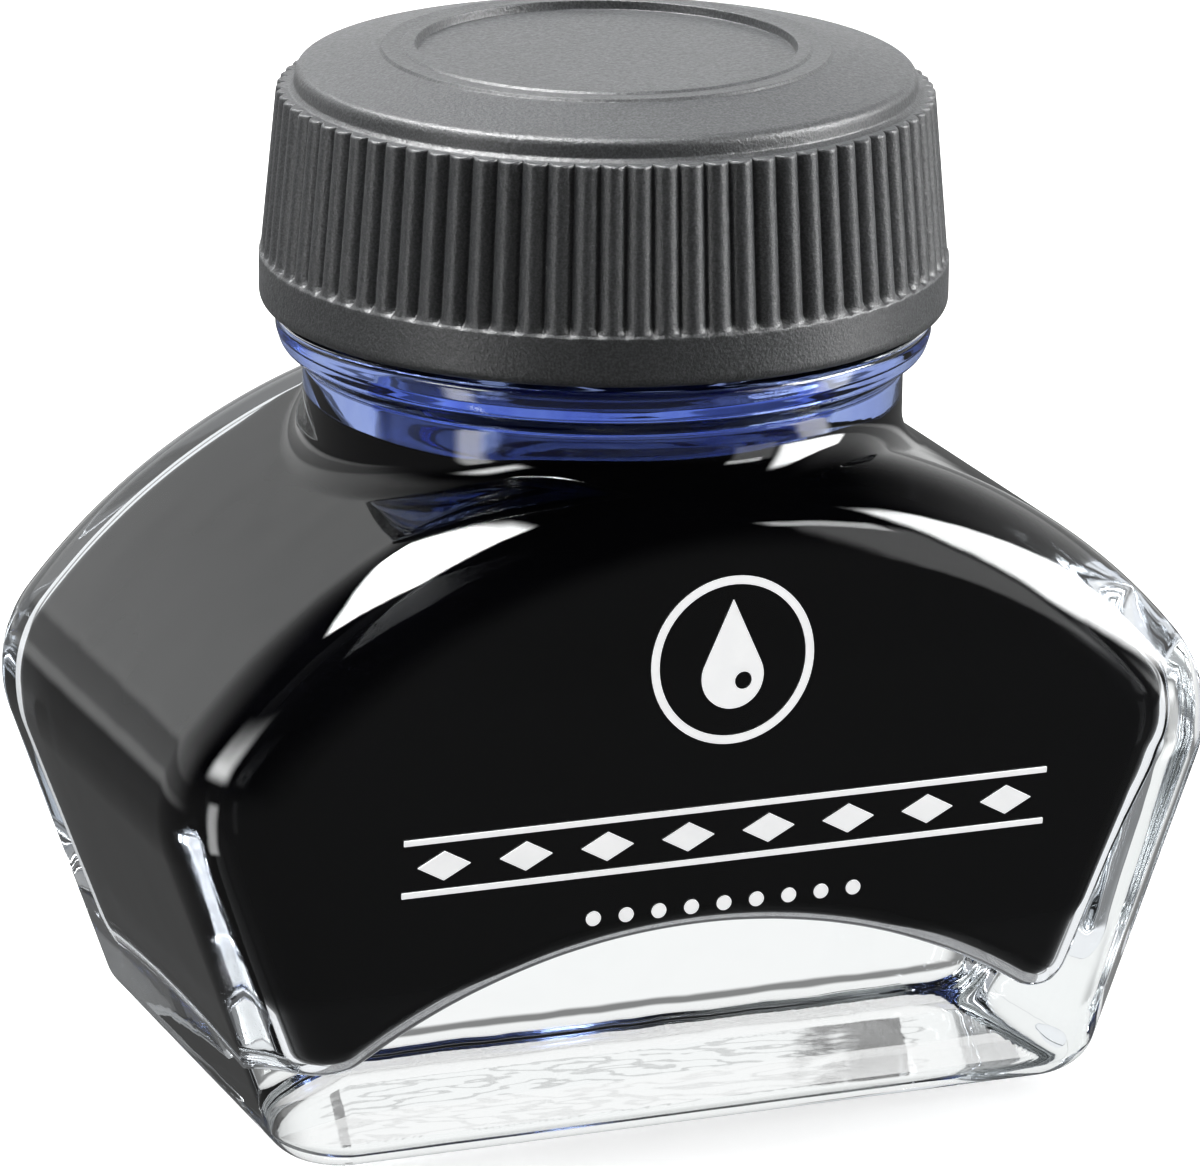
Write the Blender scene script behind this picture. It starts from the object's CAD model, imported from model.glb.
"""Ink bottle: thick clear glass, blue-black ink and a ribbed screw cap, built around the CAD frame.

Shapes are worked out in millimetres in the CAD frame (+Z up the neck, front face towards -Y) and
scaled to metres when a mesh is made. Each surface is one closed grid of quads: columns run round
the neck's axis and rows run along the section from one pole to the other.
"""
import math

import bpy
import numpy as np
from mathutils import Matrix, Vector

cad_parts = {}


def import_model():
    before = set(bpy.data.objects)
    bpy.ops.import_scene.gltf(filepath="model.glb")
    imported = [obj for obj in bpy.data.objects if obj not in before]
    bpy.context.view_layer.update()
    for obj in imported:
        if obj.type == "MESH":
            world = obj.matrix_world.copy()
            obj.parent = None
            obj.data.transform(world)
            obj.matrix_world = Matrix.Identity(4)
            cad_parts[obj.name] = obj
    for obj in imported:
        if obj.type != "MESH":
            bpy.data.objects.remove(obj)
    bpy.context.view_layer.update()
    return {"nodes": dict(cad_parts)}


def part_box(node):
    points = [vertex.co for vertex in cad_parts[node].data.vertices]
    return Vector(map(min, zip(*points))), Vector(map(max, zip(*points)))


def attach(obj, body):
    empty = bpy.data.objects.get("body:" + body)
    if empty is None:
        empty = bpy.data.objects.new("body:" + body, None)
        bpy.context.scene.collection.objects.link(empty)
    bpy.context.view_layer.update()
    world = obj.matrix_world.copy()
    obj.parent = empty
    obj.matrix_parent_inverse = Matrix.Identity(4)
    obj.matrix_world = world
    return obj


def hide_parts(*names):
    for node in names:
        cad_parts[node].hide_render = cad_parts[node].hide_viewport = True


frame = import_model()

MM = 0.001


# ---------------------------------------------------------------- sizes, from the CAD frame

def box_mm(node):
    """Lowest and highest corners of a CAD node, in millimetres."""
    low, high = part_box(node)
    return np.array(low) / MM, np.array(high) / MM


glass_low, glass_high = box_mm("glass_bottle")
cap_low, cap_high = box_mm("cap_shell")
foam_low, foam_high = box_mm("liner_foam")
facing_low, facing_high = box_mm("liner_facing")

BODY_W = glass_high[0] - glass_low[0]
BODY_D = glass_high[1] - glass_low[1]
RIM_Z = glass_high[2]
CAP_R = cap_high[0]
SKIRT_Z = cap_low[2]
CAP_TOP = cap_high[2]
INK_Z = box_mm("ink_fill")[1][2]

# Glass body, as in the CAD source. The faces lean in below LEAN_Z.
WIDEST_Z = 20.2
ARCH_Z = 38.4
BASE_W = 47.6
BASE_D = 34.6
WALL = 3.4
WIDEST_R = 7.3
EDGE_R = 6.0
BASE_CORNER_R = 3.5
HEEL_R = 1.7
FLOOR_Z = 12.5
FLOOR_X_R = 35.0
FLOOR_Y_R = 80.0
CAVITY_LOW_Z = 3.6
LEAN_Z = 19.4
LEAN_SOFTNESS = 0.6
FACE_SLOPE = (BODY_D - BASE_D) / 2 / (LEAN_Z - HEEL_R)

# Neck
NECK_R = 16.6
NECK_BLEND = 1.3
NECK_FOOT_Z = 34.0
BORE_FOOT_Z = 30.0
BORE_BLEND = 2.0
BEAD_R = 18.1
BEAD_TOP_Z = 42.3
ROOT_R = 15.1
CREST_R = 16.3
MOUTH_R = 12.6
PITCH = 4.2333
NECK_THREAD_Z = 46.9
NECK_THREAD_TURNS = 1.15

# Cap
RIBS = 80
RIB_DEPTH = 0.5
RIB_ROUNDNESS = 0.7
BAND_Z = 44.6
RIB_LOW_Z = 45.5
RIB_TOP_R = 18.05
LEDGE_Z = 54.7
DOME_R = 17.1
CAP_THREAD_R = 15.75
CAP_THREAD_TURNS = 1.1
ROOF_Z = 55.1


# ---------------------------------------------------------------- distance fields

def smooth(low, high, v):
    """0 below low, 1 above high, and a smooth step between."""
    t = np.clip((v - low) / (high - low), 0.0, 1.0)
    return t * t * (3 - 2 * t)


def round_both(a, b, r):
    """Solid inside both distances, with its outer corner rounded to radius r."""
    u = np.maximum(a + r, 0)
    v = np.maximum(b + r, 0)
    return np.minimum(np.maximum(a + r, b + r), 0) + np.hypot(u, v) - r


def round_either(a, b, r):
    """Solid inside either distance, with the inner corner filled to radius r."""
    u = np.maximum(r - a, 0)
    v = np.maximum(r - b, 0)
    return np.maximum(r, np.minimum(a, b)) - np.hypot(u, v)


class FrontOutline:
    """The body seen from the front: straight flanks, a tight round at the widest level and a large
    arc over the shoulders, all tangent to each other."""

    def __init__(self):
        self.cx = BODY_W / 2 - WIDEST_R
        rise = ARCH_Z - WIDEST_Z
        self.arch_r = (self.cx ** 2 + rise ** 2 - WIDEST_R ** 2) / (2 * (rise - WIDEST_R))
        self.arch_z = ARCH_Z - self.arch_r
        dx, dz = self.cx - BASE_W / 2, WIDEST_Z
        length = math.hypot(dx, dz)
        heading = math.atan2(dz, dx) - math.asin(WIDEST_R / length)
        self.flank_angle = heading - math.pi / 2
        self.shoulder_angle = math.atan2(WIDEST_Z - self.arch_z, self.cx)

    def distance(self, x, z):
        """Distance outside the outline, negative inside it."""
        x = np.abs(x)
        vx, vz = x - self.cx, z - WIDEST_Z
        n = (math.cos(self.flank_angle), math.sin(self.flank_angle))
        flank = (x - BASE_W / 2) * n[0] + z * n[1]
        arch = np.hypot(x, z - self.arch_z) - self.arch_r
        angle = np.arctan2(vz, vx)
        corner = (angle > self.flank_angle) & (angle < self.shoulder_angle)
        return np.where(corner, np.hypot(vx, vz) - WIDEST_R, np.maximum(flank, arch))


OUTLINE = FrontOutline()


def depth_distance(y, z):
    """Distance to the front or back face, which leans in below the widest level."""
    below = LEAN_Z - z
    lean = (below + np.sqrt(below ** 2 + LEAN_SOFTNESS ** 2)) / 2
    half = BODY_D / 2 - FACE_SLOPE * lean
    return (np.abs(y) - half) * math.cos(math.atan(FACE_SLOPE))


def edge_radius(z):
    """Radius of the upright edges, which are sharper towards the base."""
    return BASE_CORNER_R + (EDGE_R - BASE_CORNER_R) * np.clip(z / WIDEST_Z, 0, 1)


def outer_field(p):
    """Outside of the glass from the base to the plain neck."""
    x, y, z = p[..., 0], p[..., 1], p[..., 2]
    sides = round_both(OUTLINE.distance(x, z), depth_distance(y, z), edge_radius(z))
    body = round_both(sides, -z, HEEL_R)
    r = np.hypot(x, y)
    side, foot = r - NECK_R, NECK_FOOT_Z - z
    neck = np.where((side > 0) & (foot > 0), np.hypot(side, foot), np.maximum(side, foot))
    return round_either(body, neck, NECK_BLEND)


def void_field(p):
    """Hollow of the glass from the domed floor to the mouth's bore."""
    x, y, z = p[..., 0], p[..., 1], p[..., 2]
    corner = EDGE_R - WALL
    sides = round_both(OUTLINE.distance(x, z) + WALL, depth_distance(y, z) + WALL, corner)
    around = np.hypot(x, z - (FLOOR_Z - FLOOR_X_R))
    barrel = np.hypot(around - (FLOOR_X_R - FLOOR_Y_R), y) - FLOOR_Y_R
    floor = np.maximum(-barrel, CAVITY_LOW_Z - z)
    body = round_both(sides, floor, corner)
    bore = np.maximum(np.hypot(x, y) - MOUTH_R, BORE_FOOT_Z - z)
    return round_either(body, bore, BORE_BLEND)


def cast(field, centre, angles, tilts, reach=60.0, halvings=46):
    """Points where rays from centre leave the field, as an array of (tilt, angle, xyz)."""
    a, t = np.meshgrid(angles, tilts)
    ray = np.stack([np.cos(t) * np.cos(a), np.cos(t) * np.sin(a), np.sin(t)], -1)
    low = np.zeros(a.shape)
    high = np.full(a.shape, reach)
    start = np.array(centre, float)
    for _ in range(halvings):
        middle = (low + high) / 2
        inside = field(start + ray * middle[..., None]) < 0
        low = np.where(inside, middle, low)
        high = np.where(inside, high, middle)
    return start + ray * low[..., None]


def field_normals(field, p, step=0.02):
    """Outward unit normals of a field at points p."""
    slope = np.stack([field(p + axis * step) - field(p - axis * step) for axis in np.eye(3)], -1)
    return slope / np.maximum(np.linalg.norm(slope, axis=-1, keepdims=True), 1e-9)


# ---------------------------------------------------------------- grids and sections

def rounded_corner(before, corner, after, radius, degrees_per_point=9):
    """Points of a curve that replaces the corner and starts and ends on its two sides."""
    u, v = before - corner, after - corner
    u_length, v_length = np.linalg.norm(u), np.linalg.norm(v)
    u, v = u / u_length, v / v_length
    turn = math.pi - math.acos(np.clip(u @ v, -1, 1))
    if radius <= 0 or turn < 1e-3:
        return [corner]
    just_under_half = 0.49
    cut = min(radius * math.tan(turn / 2), u_length * just_under_half, v_length * just_under_half)
    count = max(3, int(math.degrees(turn) / degrees_per_point))
    start, end = corner + u * cut, corner + v * cut
    shares = [k / count for k in range(count + 1)]
    return [(1 - s) ** 2 * start + 2 * s * (1 - s) * corner + s ** 2 * end for s in shares]


def filleted(points, step):
    """A path through (r, z, radius) corners, each rounded to its radius, sampled every step mm."""
    corners = [np.array(q[:2], float) for q in points]
    path = [corners[0]]
    for i in range(1, len(corners) - 1):
        path += rounded_corner(corners[i - 1], corners[i], corners[i + 1], points[i][2])
    path.append(corners[-1])
    out = [path[0]]
    for q in path[1:]:
        start = out[-1]
        count = max(1, int(math.ceil(np.linalg.norm(q - start) / step)))
        out += [start + (q - start) * k / count for k in range(1, count + 1)]
    return np.array(out)


def spun(path, angles):
    """Rows of points from a path of (r, z), turned to each angle."""
    r, z = path[:, 0][:, None], path[:, 1][:, None]
    return np.stack([r * np.cos(angles), r * np.sin(angles), z + 0 * angles], -1)


def quads_between(n_rows, n_cols, closed=False):
    """Quads of a grid whose columns run round, and whose rows run round too if it is closed."""
    row = np.arange(n_rows if closed else n_rows - 1)[:, None]
    col = np.arange(n_cols)[None, :]
    up, on = (row + 1) % n_rows, (col + 1) % n_cols
    corners = [row * n_cols + col, row * n_cols + on, up * n_cols + on, up * n_cols + col]
    return np.stack(corners, -1).reshape(-1, 4).tolist()


def add_piece(name, points, faces, body):
    """A smooth-shaded object that rides on a body, from points in millimetres."""
    mesh = bpy.data.meshes.new(name)
    mesh.from_pydata((points * MM).tolist(), [], faces)
    mesh.validate()
    mesh.polygons.foreach_set("use_smooth", [True] * len(mesh.polygons))
    mesh.update()
    obj = bpy.data.objects.new(name, mesh)
    bpy.context.scene.collection.objects.link(obj)
    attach(obj, body)
    return obj


def grid_piece(name, rows, body):
    """Closed object from rows of points: quads between rows and round the columns, and a fan to a
    single point at each end."""
    n_rows, n_cols = rows.shape[:2]
    points = np.concatenate([rows.reshape(-1, 3), [rows[0].mean(0), rows[-1].mean(0)]])
    first_pole, last_pole = n_rows * n_cols, n_rows * n_cols + 1
    last_row = (n_rows - 1) * n_cols
    neighbours = [(i, (i + 1) % n_cols) for i in range(n_cols)]
    fans = [(first_pole, b, a) for a, b in neighbours]
    fans += [(last_pole, last_row + a, last_row + b) for a, b in neighbours]
    return add_piece(name, points, quads_between(n_rows, n_cols) + fans, body)


def even_angles(n):
    """Angles of n columns spaced evenly round the axis."""
    return np.arange(n) * 2 * math.pi / n


def plan_angles(n, samples=7200, level=16.0, outline_share=0.65):
    """Column angles spaced partly by turn and mostly by length along the body's outline in plan, so
    that its corners stay round."""
    a = np.linspace(0, 2 * math.pi, samples + 1)[:-1]
    ring = cast(outer_field, (0, 0, level), a, np.array([0.0]))[0]
    step = np.linalg.norm(np.roll(ring, -1, 0) - ring, axis=1)
    run = np.concatenate([[0], np.cumsum(step)])
    turn = np.linspace(0, 1, samples + 1)
    weight = outline_share * run / run[-1] + (1 - outline_share) * turn
    return np.interp(np.arange(n) / n, weight, np.append(a, 2 * math.pi))


def even_tilts(field, centre, top_radius, top_z, n, samples=1500, probes=8, first_probe=0.2):
    """Ray tilts from straight down to the level top_z, spaced so that the section's points are about
    evenly spread. The lowest ray leaves a small hole for the pole's fan."""
    pole_gap = 0.02
    high = math.atan2(top_z - centre[2], top_radius)
    t = np.linspace(-math.pi / 2 + pole_gap, high, samples)
    p = cast(field, centre, even_angles(probes) + first_probe, t)
    step = np.linalg.norm(np.diff(p, axis=0), axis=-1).mean(1)
    run = np.concatenate([[0], np.cumsum(step)])
    return np.interp(np.linspace(0, run[-1], n), run, t)


def ridge_height(theta, z, z0, turns, root_half=1.0, crest_half=0.42, fade_deg=38):
    """0 to 1 height of a right-hand helical ridge at angles theta and heights z."""
    best = np.zeros(np.broadcast(theta, z).shape)
    for k in range(int(turns) + 2):
        a = np.degrees(theta) % 360 + 360 * k
        off = np.abs(z - (z0 + PITCH * a / 360))
        side = 1 - smooth(crest_half, root_half, off)
        ends = smooth(0, fade_deg, a) * (1 - smooth(turns * 360 - fade_deg, turns * 360, a))
        best = np.maximum(best, side * ends)
    return best


def set_radius(rows, r, angles):
    """Moves rows of points to radius r round the axis."""
    rows[..., 0] = r * np.cos(angles)
    rows[..., 1] = r * np.sin(angles)


# ---------------------------------------------------------------- shader node helpers

class Maths:
    """Short way of writing sums with node sockets and plain numbers."""

    def __init__(self, nodes, links):
        self.nodes, self.links = nodes, links

    def put(self, socket, value):
        """Links another node's output to a socket, or sets a plain number on it."""
        if hasattr(value, "is_output"):
            self.links.new(value, socket)
        else:
            socket.default_value = value

    def sum(self, kind, *values):
        """Result of one operation of the Math node."""
        n = self.nodes.new("ShaderNodeMath")
        n.operation = kind
        for i, value in enumerate(values):
            self.put(n.inputs[i], value)
        return n.outputs[0]

    def dot(self, v, fixed):
        """How far a vector reaches along a fixed direction."""
        n = self.nodes.new("ShaderNodeVectorMath")
        n.operation = "DOT_PRODUCT"
        self.links.new(v, n.inputs[0])
        n.inputs[1].default_value = tuple(float(c) for c in fixed)
        return n.outputs["Value"]

    def step(self, value, at_0, at_1):
        """0 at at_0, 1 at at_1, smooth between."""
        n = self.nodes.new("ShaderNodeMapRange")
        n.interpolation_type = "SMOOTHSTEP"
        self.put(n.inputs["Value"], value)
        n.inputs["From Min"].default_value = at_0
        n.inputs["From Max"].default_value = at_1
        return n.outputs["Result"]

    def times(self, *values):
        total = values[0]
        for value in values[1:]:
            total = self.sum("MULTIPLY", total, value)
        return total

    def plus(self, *values):
        total = values[0]
        for value in values[1:]:
            total = self.sum("ADD", total, value)
        return total

    def mix(self, share, a, b):
        """a where share is 0, b where it is 1."""
        return self.plus(self.times(self.sum("SUBTRACT", 1.0, share), a), self.times(share, b))


def node(nodes, kind, **values):
    """A new node with the named inputs or settings given."""
    n = nodes.new(kind)
    for key, value in values.items():
        if key in n.inputs:
            n.inputs[key].default_value = value
        else:
            setattr(n, key, value)
    return n


def material(name):
    """A new material without nodes, with its node and link lists."""
    m = bpy.data.materials.new(name)
    m.use_nodes = True
    m.node_tree.nodes.clear()
    return m, m.node_tree.nodes, m.node_tree.links


def show(nodes, links, shader):
    """Makes a shader the surface of its material."""
    out = node(nodes, "ShaderNodeOutputMaterial")
    links.new(shader.outputs[0], out.inputs["Surface"])


def mixed(nodes, links, share, first, second):
    """The first shader where share is 0, the second where it is 1."""
    mix = node(nodes, "ShaderNodeMixShader")
    links.new(share, mix.inputs[0])
    links.new(first.outputs[0], mix.inputs[1])
    links.new(second.outputs[0], mix.inputs[2])
    return mix


def pattern(nodes, links, kind="ShaderNodeTexNoise", output="Fac", place=None, **settings):
    """Value of a procedural texture in the object's own space."""
    texture = node(nodes, kind, **settings)
    if place is None:
        place = node(nodes, "ShaderNodeTexCoord").outputs["Object"]
    links.new(place, texture.inputs["Vector"])
    return texture.outputs[output]


def ramp(nodes, links, value, low, high, positions=(0.0, 1.0)):
    """Colour that goes from low to high as the value goes from one position to the other."""
    n = node(nodes, "ShaderNodeValToRGB")
    for element, position, colour in zip(n.color_ramp.elements, positions, (low, high)):
        element.position = position
        element.color = (*colour, 1)
    links.new(value, n.inputs["Fac"])
    return n.outputs["Color"]


def relief(nodes, links, height, strength, distance):
    """Normal bumped by a height."""
    bump = node(nodes, "ShaderNodeBump", Strength=strength, Distance=distance)
    links.new(height, bump.inputs["Height"])
    return bump.outputs["Normal"]


# ---------------------------------------------------------------- materials

def glass_material():
    """Clear glass with faint waves. Shadow rays pass straight through, so it casts no black shadow."""
    m, nodes, links = material("clear_glass")
    glass = node(nodes, "ShaderNodeBsdfGlass", Color=(0.985, 0.995, 0.995, 1), Roughness=0.0, IOR=1.5)
    waves = pattern(nodes, links, Scale=230.0, Detail=1.5, Roughness=0.45)
    links.new(relief(nodes, links, waves, 1.0, 0.00003), glass.inputs["Normal"])
    clear = node(nodes, "ShaderNodeBsdfTransparent", Color=(0.93, 0.95, 0.96, 1))
    path = node(nodes, "ShaderNodeLightPath")
    show(nodes, links, mixed(nodes, links, path.outputs["Is Shadow Ray"], glass, clear))
    return m


def ink_material():
    """Ink against glass: all but black, and a mirror to light that skims the wall. The nearer the
    ratio of the two indices is to 1, the flatter a ray has to skim. It changes towards the back, at
    the foot and over the shoulder except at its left end, at places in metres."""
    m, nodes, links = material("black_ink")
    maths = Maths(nodes, links)
    place = node(nodes, "ShaderNodeTexCoord").outputs["Object"]
    x, y, z = (maths.dot(place, axis) for axis in ((1, 0, 0), (0, 1, 0), (0, 0, 1)))
    wall_ratio, back_ratio, shoulder_ratio = 0.86, 0.77, 0.95
    back = maths.step(y, 0.006, 0.012)
    foot = maths.step(z, 0.0105, 0.009)
    shoulder = maths.times(maths.step(z, 0.0255, 0.0275), maths.step(x, -0.016, -0.012))
    ratio = maths.mix(maths.sum("MAXIMUM", back, foot), wall_ratio, back_ratio)
    ratio = maths.mix(shoulder, ratio, shoulder_ratio)
    fresnel = node(nodes, "ShaderNodeFresnel")
    links.new(ratio, fresnel.inputs["IOR"])
    share = maths.sum("POWER", fresnel.outputs[0], 1.35)
    clouds = pattern(nodes, links, place=place, Scale=90.0, Detail=4.0, Roughness=0.6)
    dark = node(nodes, "ShaderNodeBsdfDiffuse")
    links.new(ramp(nodes, links, clouds, (0.0002, 0.0002, 0.0003), (0.0008, 0.0008, 0.0012)),
              dark.inputs["Color"])
    mirror = node(nodes, "ShaderNodeBsdfGlossy", Roughness=0.03, Color=(0.94, 0.95, 0.98, 1))
    show(nodes, links, mixed(nodes, links, share, dark, mirror))
    return m


def ink_surface_material():
    """Free surface of the ink: a mirror-smooth liquid, blue where it thins against the glass."""
    m, nodes, links = material("ink_surface")
    bsdf = node(nodes, "ShaderNodeBsdfPrincipled", Roughness=0.02, IOR=1.36)
    clouds = pattern(nodes, links, Scale=120.0, Detail=3.0)
    links.new(ramp(nodes, links, clouds, (0.004, 0.006, 0.05), (0.01, 0.012, 0.09)),
              bsdf.inputs["Base Color"])
    show(nodes, links, bsdf)
    return m


def film_material():
    """Blue tint of the ink film. Light crosses the film's two faces on its way through, and only the
    outward-facing one tints it."""
    m, nodes, links = material("ink_film")
    mapping = node(nodes, "ShaderNodeMapping", Scale=(1, 1, 0.35))
    links.new(node(nodes, "ShaderNodeTexCoord").outputs["Object"], mapping.inputs["Vector"])
    streaks = pattern(nodes, links, place=mapping.outputs["Vector"], Scale=260.0, Detail=4.0, Roughness=0.6)
    tinted = node(nodes, "ShaderNodeBsdfTransparent")
    links.new(ramp(nodes, links, streaks, (0.24, 0.32, 0.74), (0.42, 0.52, 0.88), (0.3, 0.75)),
              tinted.inputs["Color"])
    plain = node(nodes, "ShaderNodeBsdfTransparent")
    face = node(nodes, "ShaderNodeNewGeometry")
    show(nodes, links, mixed(nodes, links, face.outputs["Backfacing"], tinted, plain))
    return m


def cap_material():
    """Dark moulded plastic with a fine spark-eroded grain that glints."""
    m, nodes, links = material("cap_plastic")
    bsdf = node(nodes, "ShaderNodeBsdfPrincipled", IOR=1.45)
    bsdf.inputs["Specular IOR Level"].default_value = 0.8
    grain = pattern(nodes, links, Scale=7500.0, Detail=1.5, Roughness=0.6)
    coarse = pattern(nodes, links, Scale=3600.0, Detail=1.5, Roughness=0.6)
    colour = ramp(nodes, links, grain, (0.026, 0.027, 0.028), (0.08, 0.083, 0.086), (0.38, 0.7))
    rough = node(nodes, "ShaderNodeMapRange")
    for key, value in (("From Min", 0.3), ("From Max", 0.7), ("To Min", 0.5), ("To Max", 0.38)):
        rough.inputs[key].default_value = value
    links.new(coarse, rough.inputs["Value"])
    height = Maths(nodes, links).plus(grain, coarse)
    links.new(colour, bsdf.inputs["Base Color"])
    links.new(rough.outputs["Result"], bsdf.inputs["Roughness"])
    links.new(relief(nodes, links, height, 0.5, 0.00005), bsdf.inputs["Normal"])
    show(nodes, links, bsdf)
    return m


def mottled_material(name, low, high, roughness, strength, distance, glow=0.0, **texture):
    """Opaque material whose colour and relief follow one procedural texture."""
    m, nodes, links = material(name)
    value = pattern(nodes, links, **texture)
    colour = ramp(nodes, links, value, low, high)
    bsdf = node(nodes, "ShaderNodeBsdfPrincipled", Roughness=roughness)
    links.new(colour, bsdf.inputs["Base Color"])
    links.new(relief(nodes, links, value, strength, distance), bsdf.inputs["Normal"])
    if glow:
        bsdf.inputs["Emission Strength"].default_value = glow
        links.new(colour, bsdf.inputs["Emission Color"])
    show(nodes, links, bsdf)
    return m


def foam_material():
    """Closed-cell foam, off-white."""
    return mottled_material(
        "liner_foam", low=(0.86, 0.86, 0.82), high=(0.66, 0.66, 0.62), roughness=0.8,
        strength=0.5, distance=0.0001, kind="ShaderNodeTexVoronoi", output="Distance", Scale=2600.0)


def facing_material():
    """Smooth pale film."""
    return mottled_material(
        "liner_facing", low=(0.6, 0.63, 0.68), high=(0.8, 0.81, 0.83), roughness=0.22,
        strength=0.15, distance=0.0003, Scale=140.0, Detail=4.0)


def print_material():
    """White screen print. Its glow stands for the light that a front lamp would give it."""
    return mottled_material(
        "white_print", low=(0.78, 0.79, 0.8), high=(0.93, 0.93, 0.93), roughness=0.45,
        strength=0.1, distance=0.0001, glow=0.62, Scale=900.0, Detail=3.0)


# ---------------------------------------------------------------- glass bottle

OUTER_CENTRE = (0.0, 0.0, 18.0)
VOID_CENTRE = (0.0, 0.0, 24.0)
NECK_CUT_Z = 38.6


def neck_rows(angles):
    """Neck from the body up over the bead, thread and rim, and down the bore."""
    foot_z = NECK_CUT_Z + 0.15
    path = filleted([
        (NECK_R, foot_z, 0),
        (NECK_R, 39.6, 0.7),
        (BEAD_R - 0.25, 40.6, 0.8),
        (BEAD_R, 41.4, 0.6),
        (BEAD_R, BEAD_TOP_Z, 0.5),
        (ROOT_R, BEAD_TOP_Z + 0.35, 0.5),
        (ROOT_R, RIM_Z, 0.8),
        (MOUTH_R, RIM_Z, 0.8),
        (MOUTH_R, foot_z, 0),
    ], step=0.16)
    rows = spun(path, angles)
    r, z = path[:, 0][:, None], path[:, 1][:, None]
    ridge = ridge_height(angles[None, :], rows[..., 2], NECK_THREAD_Z, NECK_THREAD_TURNS)
    threaded = (r > ROOT_R - 0.3) & (z > BEAD_TOP_Z)
    set_radius(rows, r + np.where(threaded, (CREST_R - ROOT_R) * ridge, 0), angles)
    return rows


def set_exact_normals(obj, first_rows, middle_rows, last_rows):
    """Gives the body and the hollow the normals of their fields, and leaves the neck's as they are.
    Refraction shows every facet of an averaged normal."""
    flat = np.zeros(len(obj.data.vertices) * 3, np.float32)
    obj.data.vertices.foreach_get("normal", flat)
    normals = flat.reshape(-1, 3)
    n_first = first_rows[..., 0].size
    n_middle = middle_rows[..., 0].size
    n_last = last_rows[..., 0].size
    normals[:n_first] = field_normals(outer_field, first_rows).reshape(-1, 3)
    last = slice(n_first + n_middle, n_first + n_middle + n_last)
    normals[last] = -field_normals(void_field, last_rows).reshape(-1, 3)
    obj.data.normals_split_custom_set_from_vertices(normals.tolist())


def glass_bottle():
    """One closed skin: the body from its base to the neck, the neck, and the hollow down to its floor."""
    angles = plan_angles(560)
    tilts = even_tilts(outer_field, OUTER_CENTRE, NECK_R, NECK_CUT_Z, 330)
    body = cast(outer_field, OUTER_CENTRE, angles, tilts)
    neck = neck_rows(angles)
    tilts = even_tilts(void_field, VOID_CENTRE, MOUTH_R, NECK_CUT_Z, 230)
    void = cast(void_field, VOID_CENTRE, angles, tilts)[::-1]
    obj = grid_piece("glass", np.concatenate([body, neck, void]), "bottle")
    set_exact_normals(obj, body, neck, void)
    obj.data.materials.append(glass_material())
    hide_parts("glass_bottle")


# ---------------------------------------------------------------- ink

def ink_fill():
    """The liquid reaches a hair into the glass, so that no air shows between them, and its surface
    climbs a little where it meets the bore."""
    bite, climb, climb_width = 0.03, 0.5, 0.9
    surface_r = MOUTH_R + bite
    angles = plan_angles(400)

    def field(p):
        return void_field(p) - bite

    tilts = even_tilts(field, VOID_CENTRE, surface_r, INK_Z + climb, 200)
    wall = cast(field, VOID_CENTRE, angles, tilts)
    surface = []
    for share in np.linspace(1, 0, 60)[1:-1] ** 1.3:
        r = surface_r * share
        z = INK_Z + climb * math.exp(-(surface_r - r) / climb_width)
        surface.append(np.stack([r * np.cos(angles), r * np.sin(angles), np.full(len(angles), z)], -1))
    obj = grid_piece("ink", np.concatenate([wall, surface]), "bottle")
    obj.data.materials.append(ink_material())
    obj.data.materials.append(ink_surface_material())
    n_cols = len(angles)
    on_surface = np.zeros(len(obj.data.polygons), np.int32)
    on_surface[(len(wall) - 1) * n_cols:(len(wall) + len(surface) - 1) * n_cols] = 1
    on_surface[-n_cols:] = 1
    obj.data.polygons.foreach_set("material_index", on_surface)
    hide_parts("ink_fill")


def ink_film():
    """Ink clinging to the neck's bore, thinning out towards the rim."""
    low, high = box_mm("neck_ink_film")
    outer_r = MOUTH_R + 0.02
    path = filleted([
        (outer_r, low[2], 0),
        (outer_r, high[2], 0),
        (outer_r - 0.16, high[2] - 0.2, 0),
        (outer_r - 0.25, low[2] + 1.2, 0),
        (outer_r - 0.5, low[2] + 0.1, 0),
        (outer_r - 0.45, low[2], 0),
        (outer_r, low[2], 0),
    ], step=0.3)[:-1]
    rows = spun(path, even_angles(240))
    faces = quads_between(*rows.shape[:2], closed=True)
    obj = add_piece("ink_film", rows.reshape(-1, 3), faces, "bottle")
    obj.data.materials.append(film_material())
    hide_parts("neck_ink_film")


# ---------------------------------------------------------------- cap

def rib_columns(per_rib=12, crowding=0.09):
    """Column angles, crowded a little towards the bottom of each groove, and how deep each column
    lies in its groove, from 0 to 1."""
    u = np.arange(per_rib) / per_rib
    u = u - crowding * np.sin(2 * np.pi * u)
    angles = ((np.arange(RIBS)[:, None] + u[None, :]) * 2 * math.pi / RIBS).ravel()
    groove = np.tile(1 - np.abs(np.sin(math.pi * u)) ** RIB_ROUNDNESS, RIBS)
    return angles, groove


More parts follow.
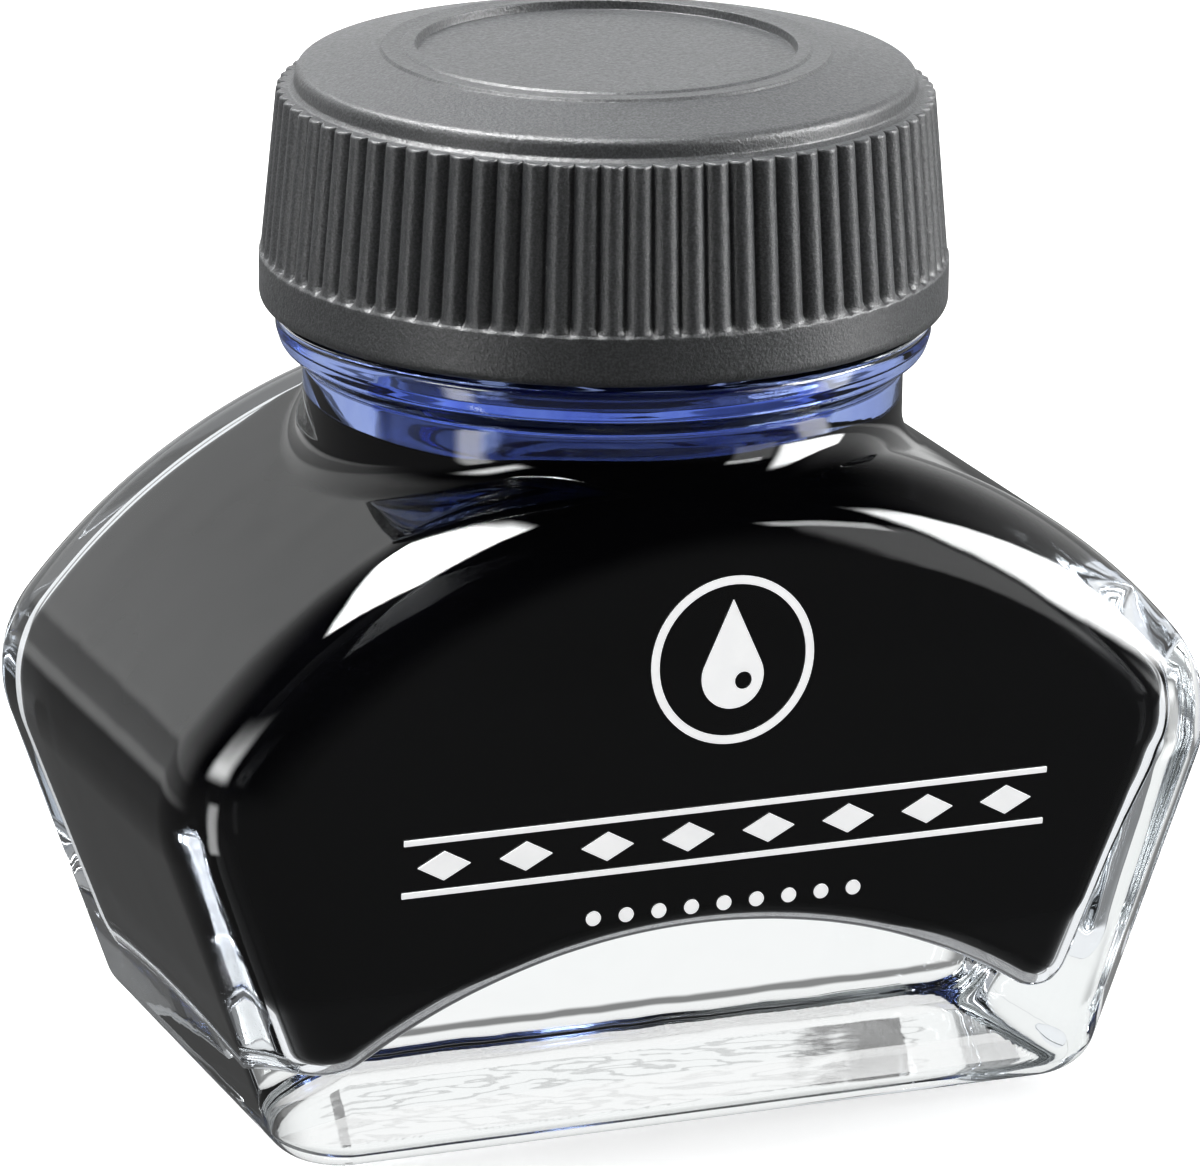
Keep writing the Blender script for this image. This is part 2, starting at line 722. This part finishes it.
def cap_inside(angles):
    """From the middle of the roof down the threaded wall, and round the skirt's lower edge."""
    path = filleted([
        (0.4, ROOF_Z, 0),
        (16.5, ROOF_Z, 0.5),
        (16.56, 53.95, 0.1),
        (16.3, 53.7, 0.15),
        (16.6, 53.4, 0.2),
        (17.2, SKIRT_Z + 0.5, 0.3),
        (17.65, SKIRT_Z, 0.25),
        (CAP_R, SKIRT_Z, 0.75),
        (CAP_R, BAND_Z, 0),
    ], step=0.2)
    rows = spun(path, angles)
    r, z = path[:, 0][:, None], path[:, 1][:, None]
    ridge = ridge_height(angles[None, :], rows[..., 2], NECK_THREAD_Z - PITCH / 2, CAP_THREAD_TURNS)
    threaded = (z > SKIRT_Z + 0.6) & (z < 53.0) & (r < 17.25)
    set_radius(rows, r - np.where(threaded, (r - CAP_THREAD_R) * ridge, 0), angles)
    return rows


def cap_outside(angles, groove):
    """From the plain band up the ribs, over the dome and its raised ring, to the middle of the top."""
    path = filleted([
        (CAP_R, BAND_Z, 0),
        (CAP_R, RIB_LOW_Z + 0.05, 0.2),
        (CAP_R - 0.1, RIB_LOW_Z + 0.2, 0.2),
        (RIB_TOP_R, LEDGE_Z, 0.22),
        (DOME_R + 0.25, LEDGE_Z, 0.0),
        (DOME_R, LEDGE_Z + 0.22, 0.2),
        (DOME_R - 0.12, LEDGE_Z + 1.15, 0.9),
        (12.42, 56.80, 0.06),
        (12.3, 56.97, 0.06),
        (11.28, 56.95, 0.06),
        (11.15, CAP_TOP - 0.02, 0.06),
        (10.46, CAP_TOP, 0.08),
        (10.36, 56.6, 0.08),
        (0.4, 56.6, 0),
    ], step=0.16)
    rows = spun(path, angles)
    r, z = path[:, 0][:, None], path[:, 1][:, None]
    on_ribs = smooth(RIB_LOW_Z - 0.05, RIB_LOW_Z + 0.55, z) * (z < LEDGE_Z + 1e-6)
    ledge_in, ledge_out = DOME_R + 0.3, RIB_TOP_R - 0.05
    fade = np.where(z > LEDGE_Z - 0.25, np.clip((r - ledge_in) / (ledge_out - ledge_in), 0, 1), 1)
    set_radius(rows, r - RIB_DEPTH * groove[None, :] * on_ribs * fade, angles)
    return rows


def cap():
    angles, groove = rib_columns()
    rows = np.concatenate([cap_inside(angles), cap_outside(angles, groove)[1:]])
    obj = grid_piece("cap", rows, "cap")
    obj.data.materials.append(cap_material())
    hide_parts("cap_shell")


# ---------------------------------------------------------------- liner

def liner_disc(name, low, high, dent_depth, edge, mat, slot_name):
    """Flat disc with rounded edges and the ring that the rim has pressed into its underside."""
    dent_in, dent_out = MOUTH_R + 0.2, ROOT_R - 0.2
    path = filleted([
        (0.3, low[2], 0),
        (dent_in, low[2], 0.1),
        (dent_in + 0.3, low[2] + dent_depth, 0.1),
        (dent_out - 0.3, low[2] + dent_depth, 0.1),
        (dent_out, low[2], 0.1),
        (high[0], low[2], edge),
        (high[0], high[2], edge),
        (0.3, high[2], 0),
    ], step=0.25)
    obj = grid_piece(name, spun(path, even_angles(220)), "liner")
    obj.data.materials.append(mat)
    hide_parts(slot_name)


def liner():
    """Foam pad, and the facing that carries the rim's mark."""
    liner_disc("liner_foam_pad", foam_low, foam_high, 0.0, 0.12, foam_material(), "liner_foam")
    liner_disc("liner_film", facing_low, facing_high, 0.03, 0.04, facing_material(), "liner_facing")


# ---------------------------------------------------------------- print

def prints():
    """The CAD's own prints, in white."""
    white = print_material()
    for name in ("print_emblem", "print_band", "print_underline"):
        obj = frame["nodes"][name]
        obj.data.materials.clear()
        obj.data.materials.append(white)


# ---------------------------------------------------------------- studio drawn by direction

# The studio lies all round at a great distance. A ray meets it at a heading (degrees from +Y towards
# +X) and a height (degrees above the horizon). The backdrop stands on the far side from the camera.
FAR_SIDE = (0.37, 0.929, 0.0)

# Softboxes: heading range, height range, softness of the edges, brightness.
SOFTBOXES = [
    ((134, 150), (2, 28), 2.0, 1.8),
    ((138, 152), (25.5, 29.5), 1.0, 8.0),
    ((-114, -90), (24, 38), 6.0, 15.0),
    ((-112, -102), (-30, 5), 3.0, 7.0),
    ((106, 122), (-30, 5), 3.0, 6.0),
]
RIGHT_BOX_LEVEL = 24.0
OVERHEAD_BOX_LEVEL = 32.0


def window(m, value, span, soft):
    """1 where the value is within the span, with edges of that softness."""
    return m.times(
        m.step(value, span[0] - soft, span[0] + soft), m.step(value, span[1] + soft, span[1] - soft))


def under(m, value, slope, other, limit, soft):
    """1 on the side of a slanted edge where value + slope * other is less than limit."""
    return m.step(m.plus(value, m.times(other, slope)), limit + soft, limit - soft)


def right_box(m, heading, height):
    """The large softbox on the right, cut off along its top left side."""
    return m.times(
        window(m, heading, (94, 131), 2.5), window(m, height, (11, 39), 2.5),
        under(m, height, -0.5, heading, -21.5, 1.5), RIGHT_BOX_LEVEL)


def overhead_box(m, x, y, z):
    """The softbox overhead, five-sided on the ceiling as it is seen from the bottle."""
    up = m.sum("MAXIMUM", z, 0.05)
    across, along = m.sum("DIVIDE", x, up), m.sum("DIVIDE", y, up)
    back_across, back_along = m.times(across, -1.0), m.times(along, -1.0)
    return m.times(
        under(m, back_across, 0.364, along, 0.68, 0.03),
        under(m, across, 0.165, along, -0.093, 0.03),
        under(m, back_along, -1.12, across, 0.592, 0.03),
        window(m, along, (-0.2, 0.95), 0.03), m.step(z, 0.1, 0.3), OVERHEAD_BOX_LEVEL)


def refracted_studio(m, behind, heading, height):
    """Seen through the glass: white all round the back, greyer in front and overhead, a dark line
    where the table ends, dark uprights at the sides, and behind the foot a thin dark joint in the
    backdrop with a dark object beside it."""
    light = m.mix(m.step(behind, -0.5, 0.1), 0.5, 1.0)
    light = m.times(light, m.mix(m.step(height, 60, 35), 0.25, 1.0))
    table_end = m.times(m.step(height, -9, -5), m.step(height, 3, -1))
    uprights = m.plus(window(m, heading, (84, 92), 4.0), window(m, heading, (-52, -44), 4.0))
    light = m.times(light, m.mix(m.sum("MINIMUM", m.plus(table_end, uprights), 1.0), 1.0, 0.25))
    joint = m.times(window(m, m.plus(height, m.times(heading, 0.11)), (23.0, 23.4), 0.06), 0.4)
    beside = m.times(window(m, heading, (23.5, 28.0), 0.3), window(m, height, (19.0, 22.5), 1.0))
    return m.times(light, m.mix(m.sum("MINIMUM", m.plus(joint, beside), 1.0), 1.0, 0.04))


def mirrored_studio(m, behind, height):
    """Seen in a mirror: a white backdrop behind, a lit strip of table at its foot, dim floor and
    dark ceiling."""
    backdrop = m.times(window(m, height, (11, 60), 2.5), m.step(height, 54, 16))
    foot = m.times(window(m, height, (-6, -2), 1.5), 0.35)
    dim = m.times(m.step(height, -9, -6), m.step(height, 14, 10), 0.42)
    light = m.times(m.step(behind, -0.2, 0.3), m.plus(backdrop, foot, dim))
    return m.plus(m.times(light, 1.05), m.times(m.step(height, 30, -5), 0.13), 0.01)


def studio_light(nodes, links):
    """Brightness of the studio in the direction a ray is heading, for each kind of ray."""
    m = Maths(nodes, links)
    geometry = node(nodes, "ShaderNodeNewGeometry")
    ray = node(nodes, "ShaderNodeVectorMath", operation="SCALE")
    ray.inputs["Scale"].default_value = -1.0
    links.new(geometry.outputs["Incoming"], ray.inputs[0])
    x, y, z = (m.dot(ray.outputs[0], axis) for axis in ((1, 0, 0), (0, 1, 0), (0, 0, 1)))
    flat = m.sum("SQRT", m.sum("MAXIMUM", m.sum("SUBTRACT", 1.0, m.times(z, z)), 1e-4))
    behind = m.sum("DIVIDE", m.dot(ray.outputs[0], FAR_SIDE), flat)
    heading = m.sum("DEGREES", m.sum("ARCTAN2", x, y))
    height = m.sum("DEGREES", m.sum("ARCSINE", z))

    boxes = [
        m.times(window(m, heading, headings, soft), window(m, height, heights, soft), level)
        for headings, heights, soft, level in SOFTBOXES
    ]
    boxes = m.plus(*boxes, right_box(m, heading, height), overhead_box(m, x, y, z))
    through = refracted_studio(m, behind, heading, height)
    mirrored = mirrored_studio(m, behind, height)

    matt_share = 0.05
    path = node(nodes, "ShaderNodeLightPath")
    glossy, refracted = path.outputs["Is Glossy Ray"], path.outputs["Is Transmission Ray"]
    seen = m.mix(refracted, m.mix(glossy, matt_share, mirrored), through)
    boxes = m.times(boxes, m.mix(m.sum("MAXIMUM", glossy, refracted), matt_share, 1.0))
    return m, path, m.plus(seen, boxes)


# ---------------------------------------------------------------- stage, lamps and camera

# Name, direction from the bottle, distance and size in metres, watts, and whether gloss mirrors it.
LAMPS = [
    ("top", (0.1, 0.3, 1.0), 0.8, (0.6, 0.45), 13.0, False),
    ("left", (-1.0, 0.1, 0.35), 0.7, (0.3, 0.4), 2.2, False),
    ("right", (0.85, -0.5, 0.35), 0.7, (0.25, 0.4), 3.3, False),
    ("overhead", (-0.38, 0.3, 1.0), 0.9, (0.2, 0.2), 2.0, True),
]
LAMP_AIM = (0.0, 0.0, 0.03)


def stage_floor(half_size=3.0):
    """A pale table for the camera, and the lower half of the studio for every other ray."""
    corners = [(-1, -1), (1, -1), (1, 1), (-1, 1)]
    mesh = bpy.data.meshes.new("floor")
    mesh.from_pydata([(x * half_size, y * half_size, 0) for x, y in corners], [], [(0, 1, 2, 3)])
    obj = bpy.data.objects.new("floor", mesh)
    bpy.context.scene.collection.objects.link(obj)
    mat, nodes, links = material("floor")
    paint = node(nodes, "ShaderNodeBsdfDiffuse", Color=(0.6, 0.6, 0.6, 1))
    glow = node(nodes, "ShaderNodeEmission", Color=(1, 1, 1, 1), Strength=0.55)
    table = node(nodes, "ShaderNodeAddShader")
    links.new(paint.outputs[0], table.inputs[0])
    links.new(glow.outputs[0], table.inputs[1])
    m, path, level = studio_light(nodes, links)
    studio = node(nodes, "ShaderNodeEmission", Color=(1, 1, 1, 1))
    links.new(level, studio.inputs["Strength"])
    show(nodes, links, mixed(nodes, links, path.outputs["Is Camera Ray"], studio, table))
    mat.cycles.emission_sampling = "NONE"
    mesh.materials.append(mat)


def world():
    """White to the camera, and the upper half of the studio for every other ray."""
    w = bpy.data.worlds.new("studio")
    bpy.context.scene.world = w
    w.cycles.sampling_method = "NONE"
    w.use_nodes = True
    nodes, links = w.node_tree.nodes, w.node_tree.links
    nodes.clear()
    out = node(nodes, "ShaderNodeOutputWorld")
    m, path, level = studio_light(nodes, links)
    studio = node(nodes, "ShaderNodeBackground", Color=(1, 1, 1, 1))
    links.new(m.mix(path.outputs["Is Camera Ray"], level, 1.0), studio.inputs["Strength"])
    links.new(studio.outputs[0], out.inputs["Surface"])


def place_facing(obj, place, right, up, back):
    """Puts a lamp or camera at a place, with the three unit vectors of its own axes."""
    rot = Matrix([(right[i], up[i], back[i]) for i in range(3)])
    obj.matrix_world = Matrix.Translation(place) @ rot.to_4x4()
    bpy.context.scene.collection.objects.link(obj)


def lamp(name, direction, distance, size, watts, in_gloss):
    """A rectangular lamp at a direction from the bottle, facing it."""
    light = bpy.data.lights.new(name, "AREA")
    light.shape = "RECTANGLE"
    light.size, light.size_y = size
    light.energy = watts
    back = np.array(direction, float)
    back /= np.linalg.norm(back)
    right = np.cross((0, 0, 1), back)
    right /= np.linalg.norm(right)
    obj = bpy.data.objects.new(name, light)
    place_facing(obj, np.array(LAMP_AIM) + back * distance, right, np.cross(back, right), back)
    obj.visible_glossy = in_gloss
    obj.visible_transmission = False


def camera():
    """Seen from the front left and a little above, through a long lens."""
    azimuth, height, roll = math.radians(-21.73), math.radians(17.2), math.radians(0.7)
    distance, aim_z, lens_mm, sensor_mm = 0.4396, 0.02625, 236.5, 36.0
    back = np.array([
        math.sin(azimuth) * math.cos(height), -math.cos(azimuth) * math.cos(height), math.sin(height)])
    level = np.array([math.cos(azimuth), math.sin(azimuth), 0.0])
    upright = np.cross(back, level)
    right = level * math.cos(roll) + upright * math.sin(roll)
    up = upright * math.cos(roll) - level * math.sin(roll)
    data = bpy.data.cameras.new("camera")
    data.lens = lens_mm
    data.sensor_width = sensor_mm
    data.sensor_fit = "HORIZONTAL"
    data.clip_start = 0.01
    obj = bpy.data.objects.new("camera", data)
    place_facing(obj, np.array([0, 0, aim_z]) + back * distance, right, up, back)
    bpy.context.scene.camera = obj


def light_paths():
    """Enough bounces for light to cross the glass and ink several times."""
    scene = bpy.context.scene
    scene.view_settings.view_transform = "Standard"
    scene.cycles.max_bounces = 24
    scene.cycles.transmission_bounces = 20
    scene.cycles.glossy_bounces = 10
    scene.cycles.transparent_max_bounces = 24


# ---------------------------------------------------------------- build

glass_bottle()
ink_fill()
ink_film()
cap()
liner()
prints()

stage_floor()
world()
for settings in LAMPS:
    lamp(*settings)
camera()
light_paths()
